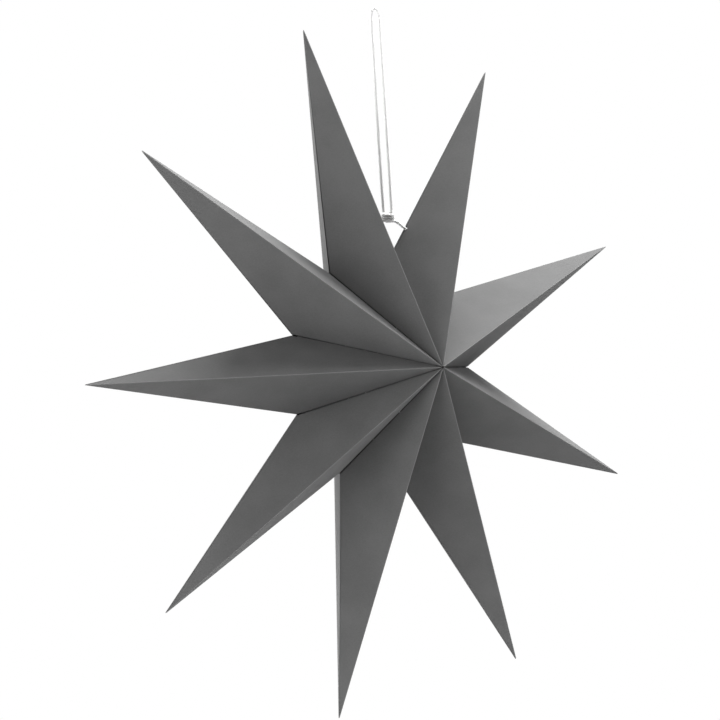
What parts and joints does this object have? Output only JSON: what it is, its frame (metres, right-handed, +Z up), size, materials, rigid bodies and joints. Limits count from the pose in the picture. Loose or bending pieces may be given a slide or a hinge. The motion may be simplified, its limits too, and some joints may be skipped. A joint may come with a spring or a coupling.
{
  "type": "folded paper star",
  "caption": "Folding card star with pointed three-dimensional rays, hung from a knotted cord loop tied through one valley.",
  "frame": {"origin": "inner top of the cord loop, where it rests on the hook", "axes": "+Z up along the hanging cord, -Y towards the star's front, +X to the right as seen from the front"},
  "size_m": [0.5816, 0.1508, 0.6104],
  "materials": {
    "card": "matte",
    "cord": "matte"
  },
  "bodies": {
    "cord_loop": {"cord_loop": "cord"},
    "hanging_knot": {"hanging_knot": "cord"},
    "closing_tab_1_back": {"closing_tab_1_back": "card"},
    "closing_tab_1_front": {"closing_tab_1_front": "card"},
    "closing_tab_2_back": {"closing_tab_2_back": "card"},
    "closing_tab_2_front": {"closing_tab_2_front": "card"},
    "glued_tabs_2_3_back": {"glued_tabs_2_3_back": "card"},
    "glued_tabs_2_3_front": {"glued_tabs_2_3_front": "card"},
    "glued_tabs_3_4_back": {"glued_tabs_3_4_back": "card"},
    "glued_tabs_3_4_front": {"glued_tabs_3_4_front": "card"},
    "glued_tabs_4_5_back": {"glued_tabs_4_5_back": "card"},
    "glued_tabs_4_5_front": {"glued_tabs_4_5_front": "card"},
    "glued_tabs_5_6_back": {"glued_tabs_5_6_back": "card"},
    "glued_tabs_5_6_front": {"glued_tabs_5_6_front": "card"},
    "glued_tabs_6_7_back": {"glued_tabs_6_7_back": "card"},
    "glued_tabs_6_7_front": {"glued_tabs_6_7_front": "card"},
    "glued_tabs_7_8_back": {"glued_tabs_7_8_back": "card"},
    "glued_tabs_7_8_front": {"glued_tabs_7_8_front": "card"},
    "glued_tabs_8_9_back": {"glued_tabs_8_9_back": "card"},
    "glued_tabs_8_9_front": {"glued_tabs_8_9_front": "card"},
    "glued_tabs_9_1_back": {"glued_tabs_9_1_back": "card"},
    "glued_tabs_9_1_front": {"glued_tabs_9_1_front": "card"},
    "ray_1_back_left": {"ray_1_back_left": "card"},
    "ray_1_back_right": {"ray_1_back_right": "card"},
    "ray_1_front_left": {"ray_1_front_left": "card"},
    "ray_1_front_right": {"ray_1_front_right": "card", "cord_tail_1": "cord"},
    "ray_2_back_left": {"ray_2_back_left": "card"},
    "ray_2_back_right": {"ray_2_back_right": "card"},
    "ray_2_front_left": {"ray_2_front_left": "card", "cord_tail_2": "cord"},
    "ray_2_front_right": {"ray_2_front_right": "card"},
    "ray_3_back_left": {"ray_3_back_left": "card"},
    "ray_3_back_right": {"ray_3_back_right": "card"},
    "ray_3_front_left": {"ray_3_front_left": "card"},
    "ray_3_front_right": {"ray_3_front_right": "card"},
    "ray_4_back_left": {"ray_4_back_left": "card"},
    "ray_4_back_right": {"ray_4_back_right": "card"},
    "ray_4_front_left": {"ray_4_front_left": "card"},
    "ray_4_front_right": {"ray_4_front_right": "card"},
    "ray_5_back_left": {"ray_5_back_left": "card"},
    "ray_5_back_right": {"ray_5_back_right": "card"},
    "ray_5_front_left": {"ray_5_front_left": "card"},
    "ray_5_front_right": {"ray_5_front_right": "card"},
    "ray_6_back_left": {"ray_6_back_left": "card"},
    "ray_6_back_right": {"ray_6_back_right": "card"},
    "ray_6_front_left": {"ray_6_front_left": "card"},
    "ray_6_front_right": {"ray_6_front_right": "card"},
    "ray_7_back_left": {"ray_7_back_left": "card"},
    "ray_7_back_right": {"ray_7_back_right": "card"},
    "ray_7_front_left": {"ray_7_front_left": "card"},
    "ray_7_front_right": {"ray_7_front_right": "card"},
    "ray_8_back_left": {"ray_8_back_left": "card"},
    "ray_8_back_right": {"ray_8_back_right": "card"},
    "ray_8_front_left": {"ray_8_front_left": "card"},
    "ray_8_front_right": {"ray_8_front_right": "card"},
    "ray_9_back_left": {"ray_9_back_left": "card"},
    "ray_9_back_right": {"ray_9_back_right": "card"},
    "ray_9_front_left": {"ray_9_front_left": "card"},
    "ray_9_front_right": {"ray_9_front_right": "card"}
  },
  "joints": [
    {"name": "spin", "type": "hinge", "parent": "cord_loop", "child": "hanging_knot", "pos_m": [0, 0, -0.18], "axis": [0, 0, 1], "range_deg": [-180, 180]},
    {"name": "swing", "type": "hinge", "parent": "hanging_knot", "child": "ray_2_front_left", "pos_m": [0, 0, -0.18], "axis": [1, 0, 0], "range_deg": [-40, 40]},
    {"name": "fold", "type": "hinge", "parent": "ray_2_front_left", "child": "ray_2_front_right", "pos_m": [-0.02032, -0.08567, -0.31429], "axis": [0.4739, 0.3021, 0.8272], "range_deg": [0, 56.32]},
    {"name": "ray_2_side_crease", "type": "hinge", "parent": "ray_2_front_right", "child": "ray_2_back_right", "pos_m": [0.05476, -0.00098, -0.24954], "axis": [-0.3549, -0.0518, -0.9335], "range_deg": [0, 55.91]},
    {"name": "ray_2_back_ridge", "type": "hinge", "parent": "ray_2_back_right", "child": "ray_2_back_left", "pos_m": [-0.02032, 0.0653, -0.31118], "axis": [0.4932, -0.182, 0.8507], "range_deg": [0, 59.2]},
    {"name": "tab_fold_2_3_front", "type": "hinge", "parent": "ray_2_front_right", "child": "glued_tabs_2_3_front", "pos_m": [0.05505, -0.00143, -0.2493], "axis": [-0.5758, -0.6495, -0.4966], "range_deg": [0, 36.49]},
    {"name": "tab_fold_2_3_back", "type": "hinge", "parent": "ray_2_back_right", "child": "glued_tabs_2_3_back", "pos_m": [0.05501, -0.00049, -0.24932], "axis": [0.6384, -0.5637, 0.5242], "range_deg": [0, 35.57]},
    {"name": "tab_fold_2_front", "type": "hinge", "parent": "ray_2_front_left", "child": "closing_tab_2_front", "pos_m": [-0.00323, -0.00212, -0.21566], "axis": [0.1305, 0.6442, 0.7536], "range_deg": [0, 36.49]},
    {"name": "tab_fold_2_back", "type": "hinge", "parent": "ray_2_back_left", "child": "closing_tab_2_back", "pos_m": [-0.00324, -0.00118, -0.2157], "axis": [-0.1447, 0.5695, -0.8091], "range_deg": [0, 35.57]},
    {"name": "seam_2_3", "type": "hinge", "parent": "ray_2_front_right", "child": "ray_3_front_left", "pos_m": [0.05505, -0.00143, -0.2493], "axis": [-0.5758, -0.6495, -0.4966], "range_deg": [0, 77.52]},
    {"name": "ray_3_front_ridge", "type": "hinge", "parent": "ray_3_front_left", "child": "ray_3_front_right", "pos_m": [-0.02032, -0.08567, -0.31429], "axis": [0.8906, 0.3123, 0.3306], "range_deg": [0, 62.72]},
    {"name": "ray_3_side_crease", "type": "hinge", "parent": "ray_3_front_right", "child": "ray_3_back_right", "pos_m": [0.07768, 0.00031, -0.31252], "axis": [-0.8711, -0.061, -0.4873], "range_deg": [0, 62.17]},
    {"name": "ray_3_back_ridge", "type": "hinge", "parent": "ray_3_back_right", "child": "ray_3_back_left", "pos_m": [-0.02032, 0.0653, -0.31118], "axis": [0.9269, -0.1713, 0.3339], "range_deg": [0, 65.89]},
    {"name": "tab_fold_3_4_front", "type": "hinge", "parent": "ray_3_front_right", "child": "glued_tabs_3_4_front", "pos_m": [0.07807, -0.00013, -0.31253], "axis": [-0.7516, -0.6595, -0.0136], "range_deg": [0, 41.03]},
    {"name": "tab_fold_3_4_back", "type": "hinge", "parent": "ray_3_back_right", "child": "glued_tabs_3_4_back", "pos_m": [0.07801, 0.00081, -0.31251], "axis": [0.8334, -0.5526, -0.0114], "range_deg": [0, 40.02]},
    {"name": "seam_3_4", "type": "hinge", "parent": "ray_3_front_right", "child": "ray_4_front_left", "pos_m": [0.07807, -0.00013, -0.31253], "axis": [-0.7516, -0.6595, -0.0136], "range_deg": [0, 82.06]},
    {"name": "ray_4_front_ridge", "type": "hinge", "parent": "ray_4_front_left", "child": "ray_4_front_right", "pos_m": [-0.02032, -0.08567, -0.31429], "axis": [0.8906, 0.3257, -0.3175], "range_deg": [0, 62.72]},
    {"name": "ray_4_side_crease", "type": "hinge", "parent": "ray_4_front_right", "child": "ray_4_back_right", "pos_m": [0.05476, 0.00161, -0.3755], "axis": [-0.9797, -0.0749, 0.1861], "range_deg": [0, 62.17]},
    {"name": "ray_4_back_ridge", "type": "hinge", "parent": "ray_4_back_right", "child": "ray_4_back_left", "pos_m": [-0.02032, 0.0653, -0.31118], "axis": [0.9269, -0.1574, -0.3407], "range_deg": [0, 65.89]},
    {"name": "tab_fold_4_5_front", "type": "hinge", "parent": "ray_4_front_right", "child": "glued_tabs_4_5_front", "pos_m": [0.05505, 0.00118, -0.37576], "axis": [-0.5758, -0.6694, 0.4695], "range_deg": [0, 41.03]},
    {"name": "tab_fold_4_5_back", "type": "hinge", "parent": "ray_4_back_right", "child": "glued_tabs_4_5_back", "pos_m": [0.05501, 0.00211, -0.37571], "axis": [0.6384, -0.5416, -0.5469], "range_deg": [0, 40.02]},
    {"name": "seam_4_5", "type": "hinge", "parent": "ray_4_front_right", "child": "ray_5_front_left", "pos_m": [0.05505, 0.00118, -0.37576], "axis": [-0.5758, -0.6694, 0.4695], "range_deg": [0, 82.06]},
    {"name": "ray_5_front_ridge", "type": "hinge", "parent": "ray_5_front_left", "child": "ray_5_front_right", "pos_m": [-0.02032, -0.08567, -0.31429], "axis": [0.4739, 0.3359, -0.814], "range_deg": [0, 62.72]},
    {"name": "ray_5_side_crease", "type": "hinge", "parent": "ray_5_front_right", "child": "ray_5_back_right", "pos_m": [-0.0033, 0.0023, -0.40901], "axis": [-0.6299, -0.087, 0.7718], "range_deg": [0, 62.17]},
    {"name": "ray_5_back_ridge", "type": "hinge", "parent": "ray_5_back_right", "child": "ray_5_back_left", "pos_m": [-0.02032, 0.0653, -0.31118], "axis": [0.4932, -0.1468, -0.8574], "range_deg": [0, 65.89]},
    {"name": "tab_fold_5_6_front", "type": "hinge", "parent": "ray_5_front_right", "child": "glued_tabs_5_6_front", "pos_m": [-0.00323, 0.00187, -0.4094], "axis": [-0.1305, -0.6747, 0.7265], "range_deg": [0, 41.03]},
    {"name": "tab_fold_5_6_back", "type": "hinge", "parent": "ray_5_back_right", "child": "glued_tabs_5_6_back", "pos_m": [-0.00324, 0.00281, -0.40933], "axis": [0.1447, -0.5357, -0.8319], "range_deg": [0, 40.02]},
    {"name": "seam_5_6", "type": "hinge", "parent": "ray_5_front_right", "child": "ray_6_front_left", "pos_m": [-0.00323, 0.00187, -0.4094], "axis": [-0.1305, -0.6747, 0.7265], "range_deg": [0, 82.06]},
    {"name": "ray_6_front_ridge", "type": "hinge", "parent": "ray_6_front_left", "child": "ray_6_front_right", "pos_m": [-0.02032, -0.08567, -0.31429], "axis": [-0.1646, 0.3382, -0.9266], "range_deg": [0, 62.72]},
    {"name": "ray_6_side_crease", "type": "hinge", "parent": "ray_6_front_right", "child": "ray_6_back_right", "pos_m": [-0.06932, 0.00206, -0.39738], "axis": [0.0147, -0.0916, 0.9957], "range_deg": [0, 62.17]},
    {"name": "ray_6_back_ridge", "type": "hinge", "parent": "ray_6_back_right", "child": "ray_6_back_left", "pos_m": [-0.02032, 0.0653, -0.31118], "axis": [-0.1713, -0.1444, -0.9746], "range_deg": [0, 65.89]},
    {"name": "tab_fold_6_7_front", "type": "hinge", "parent": "ray_6_front_right", "child": "glued_tabs_6_7_front", "pos_m": [-0.06951, 0.00163, -0.39772], "axis": [0.3758, -0.6729, 0.6372], "range_deg": [0, 41.03]},
    {"name": "tab_fold_6_7_back", "type": "hinge", "parent": "ray_6_back_right", "child": "glued_tabs_6_7_back", "pos_m": [-0.06948, 0.00257, -0.39765], "axis": [-0.4167, -0.5378, -0.7329], "range_deg": [0, 40.02]},
    {"name": "seam_6_7", "type": "hinge", "parent": "ray_6_front_right", "child": "ray_7_front_left", "pos_m": [-0.06951, 0.00163, -0.39772], "axis": [0.3758, -0.6729, 0.6372], "range_deg": [0, 82.06]},
    {"name": "ray_7_front_ridge", "type": "hinge", "parent": "ray_7_front_left", "child": "ray_7_front_right", "pos_m": [-0.02032, -0.08567, -0.31429], "axis": [-0.726, 0.3315, -0.6025], "range_deg": [0, 62.72]},
    {"name": "ray_7_side_crease", "type": "hinge", "parent": "ray_7_front_right", "child": "ray_7_back_right", "pos_m": [-0.11241, 0.001, -0.34603], "axis": [0.6523, -0.0866, 0.753], "range_deg": [0, 62.17]},
    {"name": "ray_7_back_ridge", "type": "hinge", "parent": "ray_7_back_right", "child": "ray_7_back_left", "pos_m": [-0.02032, 0.0653, -0.31118], "axis": [-0.7556, -0.1513, -0.6373], "range_deg": [0, 65.89]},
    {"name": "tab_fold_7_8_front", "type": "hinge", "parent": "ray_7_front_right", "child": "glued_tabs_7_8_front", "pos_m": [-0.11277, 0.00057, -0.34618], "axis": [0.7063, -0.6647, 0.2434], "range_deg": [0, 41.03]},
    {"name": "tab_fold_7_8_back", "type": "hinge", "parent": "ray_7_back_right", "child": "glued_tabs_7_8_back", "pos_m": [-0.11272, 0.0015, -0.34614], "axis": [-0.7831, -0.5467, -0.2963], "range_deg": [0, 40.02]},
    {"name": "seam_7_8", "type": "hinge", "parent": "ray_7_front_right", "child": "ray_8_front_left", "pos_m": [-0.11277, 0.00057, -0.34618], "axis": [0.7063, -0.6647, 0.2434], "range_deg": [0, 82.06]},
    {"name": "ray_8_front_ridge", "type": "hinge", "parent": "ray_8_front_left", "child": "ray_8_front_right", "pos_m": [-0.02032, -0.08567, -0.31429], "axis": [-0.9477, 0.319, 0.0066], "range_deg": [0, 62.72]},
    {"name": "ray_8_side_crease", "type": "hinge", "parent": "ray_8_front_right", "child": "ray_8_back_right", "pos_m": [-0.11241, -0.00038, -0.27901], "axis": [0.9848, -0.0743, 0.1573], "range_deg": [0, 62.17]},
    {"name": "ray_8_back_ridge", "type": "hinge", "parent": "ray_8_back_right", "child": "ray_8_back_left", "pos_m": [-0.02032, 0.0653, -0.31118], "axis": [-0.9864, -0.1644, -0.0034], "range_deg": [0, 65.89]},
    {"name": "tab_fold_8_9_front", "type": "hinge", "parent": "ray_8_front_right", "child": "glued_tabs_8_9_front", "pos_m": [-0.11277, -0.00082, -0.27889], "axis": [0.7063, -0.6542, -0.2706], "range_deg": [0, 41.03]},
    {"name": "tab_fold_8_9_back", "type": "hinge", "parent": "ray_8_back_right", "child": "glued_tabs_8_9_back", "pos_m": [-0.11272, 0.00012, -0.27889], "axis": [-0.7831, -0.5585, 0.2736], "range_deg": [0, 40.02]},
    {"name": "seam_8_9", "type": "hinge", "parent": "ray_8_front_right", "child": "ray_9_front_left", "pos_m": [-0.11277, -0.00082, -0.27889], "axis": [0.7063, -0.6542, -0.2706], "range_deg": [0, 82.06]},
    {"name": "ray_9_front_ridge", "type": "hinge", "parent": "ray_9_front_left", "child": "ray_9_front_right", "pos_m": [-0.02032, -0.08567, -0.31429], "axis": [-0.726, 0.3065, 0.6156], "range_deg": [0, 62.72]},
    {"name": "ray_9_side_crease", "type": "hinge", "parent": "ray_9_front_right", "child": "ray_9_back_right", "pos_m": [-0.06932, -0.00143, -0.22767], "axis": [0.8564, -0.0605, -0.5127], "range_deg": [0, 62.17]},
    {"name": "ray_9_back_ridge", "type": "hinge", "parent": "ray_9_back_right", "child": "ray_9_back_left", "pos_m": [-0.02032, 0.0653, -0.31118], "axis": [-0.7556, -0.1774, 0.6305], "range_deg": [0, 65.89]},
    {"name": "tab_fold_9_1_front", "type": "hinge", "parent": "ray_9_front_right", "child": "glued_tabs_9_1_front", "pos_m": [-0.06951, -0.00188, -0.22734], "axis": [0.3758, -0.646, -0.6644], "range_deg": [0, 41.03]},
    {"name": "tab_fold_9_1_back", "type": "hinge", "parent": "ray_9_back_right", "child": "glued_tabs_9_1_back", "pos_m": [-0.06948, -0.00094, -0.22737], "axis": [-0.4167, -0.5675, 0.7102], "range_deg": [0, 40.02]},
    {"name": "seam_9_1", "type": "hinge", "parent": "ray_9_front_right", "child": "ray_1_front_left", "pos_m": [-0.06951, -0.00188, -0.22734], "axis": [0.3758, -0.646, -0.6644], "range_deg": [0, 77.52]},
    {"name": "ray_1_front_ridge", "type": "hinge", "parent": "ray_1_front_left", "child": "ray_1_front_right", "pos_m": [-0.02032, -0.08567, -0.31429], "axis": [-0.1646, 0.2998, 0.9397], "range_deg": [0, 56.33]},
    {"name": "ray_1_side_crease", "type": "hinge", "parent": "ray_1_front_right", "child": "ray_1_back_right", "pos_m": [-0.0033, -0.00167, -0.21603], "axis": [0.3273, -0.0516, -0.9435], "range_deg": [0, 55.91]},
    {"name": "ray_1_back_ridge", "type": "hinge", "parent": "ray_1_back_right", "child": "ray_1_back_left", "pos_m": [-0.02032, 0.0653, -0.31118], "axis": [-0.1713, -0.1844, 0.9678], "range_deg": [0, 59.2]},
    {"name": "tab_fold_1_front", "type": "hinge", "parent": "ray_1_front_right", "child": "closing_tab_1_front", "pos_m": [-0.00323, -0.00212, -0.21566], "axis": [-0.1305, -0.6442, -0.7536], "range_deg": [0, 36.49]},
    {"name": "tab_fold_1_back", "type": "hinge", "parent": "ray_1_back_right", "child": "closing_tab_1_back", "pos_m": [-0.00324, -0.00118, -0.2157], "axis": [0.1447, -0.5695, 0.8091], "range_deg": [0, 35.57]}
  ],
  "couplings": [
    {"joint": "ray_2_side_crease", "follows": "fold", "ratio": 0.99254},
    {"joint": "ray_2_back_ridge", "follows": "fold", "ratio": 1.0511},
    {"joint": "tab_fold_2_3_front", "follows": "fold", "ratio": 0.6478},
    {"joint": "tab_fold_2_3_back", "follows": "fold", "ratio": 0.63146},
    {"joint": "tab_fold_2_front", "follows": "fold", "ratio": 0.6478},
    {"joint": "tab_fold_2_back", "follows": "fold", "ratio": 0.63146},
    {"joint": "seam_2_3", "follows": "fold", "ratio": 1.3763},
    {"joint": "ray_3_front_ridge", "follows": "fold", "ratio": 1.1136},
    {"joint": "ray_3_side_crease", "follows": "fold", "ratio": 1.1038},
    {"joint": "ray_3_back_ridge", "follows": "fold", "ratio": 1.1698},
    {"joint": "tab_fold_3_4_front", "follows": "fold", "ratio": 0.72848},
    {"joint": "tab_fold_3_4_back", "follows": "fold", "ratio": 0.71053},
    {"joint": "seam_3_4", "follows": "fold", "ratio": 1.457},
    {"joint": "ray_4_front_ridge", "follows": "fold", "ratio": 1.1136},
    {"joint": "ray_4_side_crease", "follows": "fold", "ratio": 1.1038},
    {"joint": "ray_4_back_ridge", "follows": "fold", "ratio": 1.1698},
    {"joint": "tab_fold_4_5_front", "follows": "fold", "ratio": 0.72848},
    {"joint": "tab_fold_4_5_back", "follows": "fold", "ratio": 0.71053},
    {"joint": "seam_4_5", "follows": "fold", "ratio": 1.457},
    {"joint": "ray_5_front_ridge", "follows": "fold", "ratio": 1.1136},
    {"joint": "ray_5_side_crease", "follows": "fold", "ratio": 1.1038},
    {"joint": "ray_5_back_ridge", "follows": "fold", "ratio": 1.1698},
    {"joint": "tab_fold_5_6_front", "follows": "fold", "ratio": 0.72848},
    {"joint": "tab_fold_5_6_back", "follows": "fold", "ratio": 0.71053},
    {"joint": "seam_5_6", "follows": "fold", "ratio": 1.457},
    {"joint": "ray_6_front_ridge", "follows": "fold", "ratio": 1.1136},
    {"joint": "ray_6_side_crease", "follows": "fold", "ratio": 1.1038},
    {"joint": "ray_6_back_ridge", "follows": "fold", "ratio": 1.1698},
    {"joint": "tab_fold_6_7_front", "follows": "fold", "ratio": 0.72848},
    {"joint": "tab_fold_6_7_back", "follows": "fold", "ratio": 0.71053},
    {"joint": "seam_6_7", "follows": "fold", "ratio": 1.457},
    {"joint": "ray_7_front_ridge", "follows": "fold", "ratio": 1.1136},
    {"joint": "ray_7_side_crease", "follows": "fold", "ratio": 1.1038},
    {"joint": "ray_7_back_ridge", "follows": "fold", "ratio": 1.1698},
    {"joint": "tab_fold_7_8_front", "follows": "fold", "ratio": 0.72848},
    {"joint": "tab_fold_7_8_back", "follows": "fold", "ratio": 0.71053},
    {"joint": "seam_7_8", "follows": "fold", "ratio": 1.457},
    {"joint": "ray_8_front_ridge", "follows": "fold", "ratio": 1.1136},
    {"joint": "ray_8_side_crease", "follows": "fold", "ratio": 1.1038},
    {"joint": "ray_8_back_ridge", "follows": "fold", "ratio": 1.1698},
    {"joint": "tab_fold_8_9_front", "follows": "fold", "ratio": 0.72848},
    {"joint": "tab_fold_8_9_back", "follows": "fold", "ratio": 0.71053},
    {"joint": "seam_8_9", "follows": "fold", "ratio": 1.457},
    {"joint": "ray_9_front_ridge", "follows": "fold", "ratio": 1.1136},
    {"joint": "ray_9_side_crease", "follows": "fold", "ratio": 1.1038},
    {"joint": "ray_9_back_ridge", "follows": "fold", "ratio": 1.1698},
    {"joint": "tab_fold_9_1_front", "follows": "fold", "ratio": 0.72848},
    {"joint": "tab_fold_9_1_back", "follows": "fold", "ratio": 0.71053},
    {"joint": "seam_9_1", "follows": "fold", "ratio": 1.3763},
    {"joint": "ray_1_front_ridge", "follows": "fold", "ratio": 1},
    {"joint": "ray_1_side_crease", "follows": "fold", "ratio": 0.99254},
    {"joint": "ray_1_back_ridge", "follows": "fold", "ratio": 1.0511},
    {"joint": "tab_fold_1_front", "follows": "fold", "ratio": 0.6478},
    {"joint": "tab_fold_1_back", "follows": "fold", "ratio": 0.63146}
  ]
}
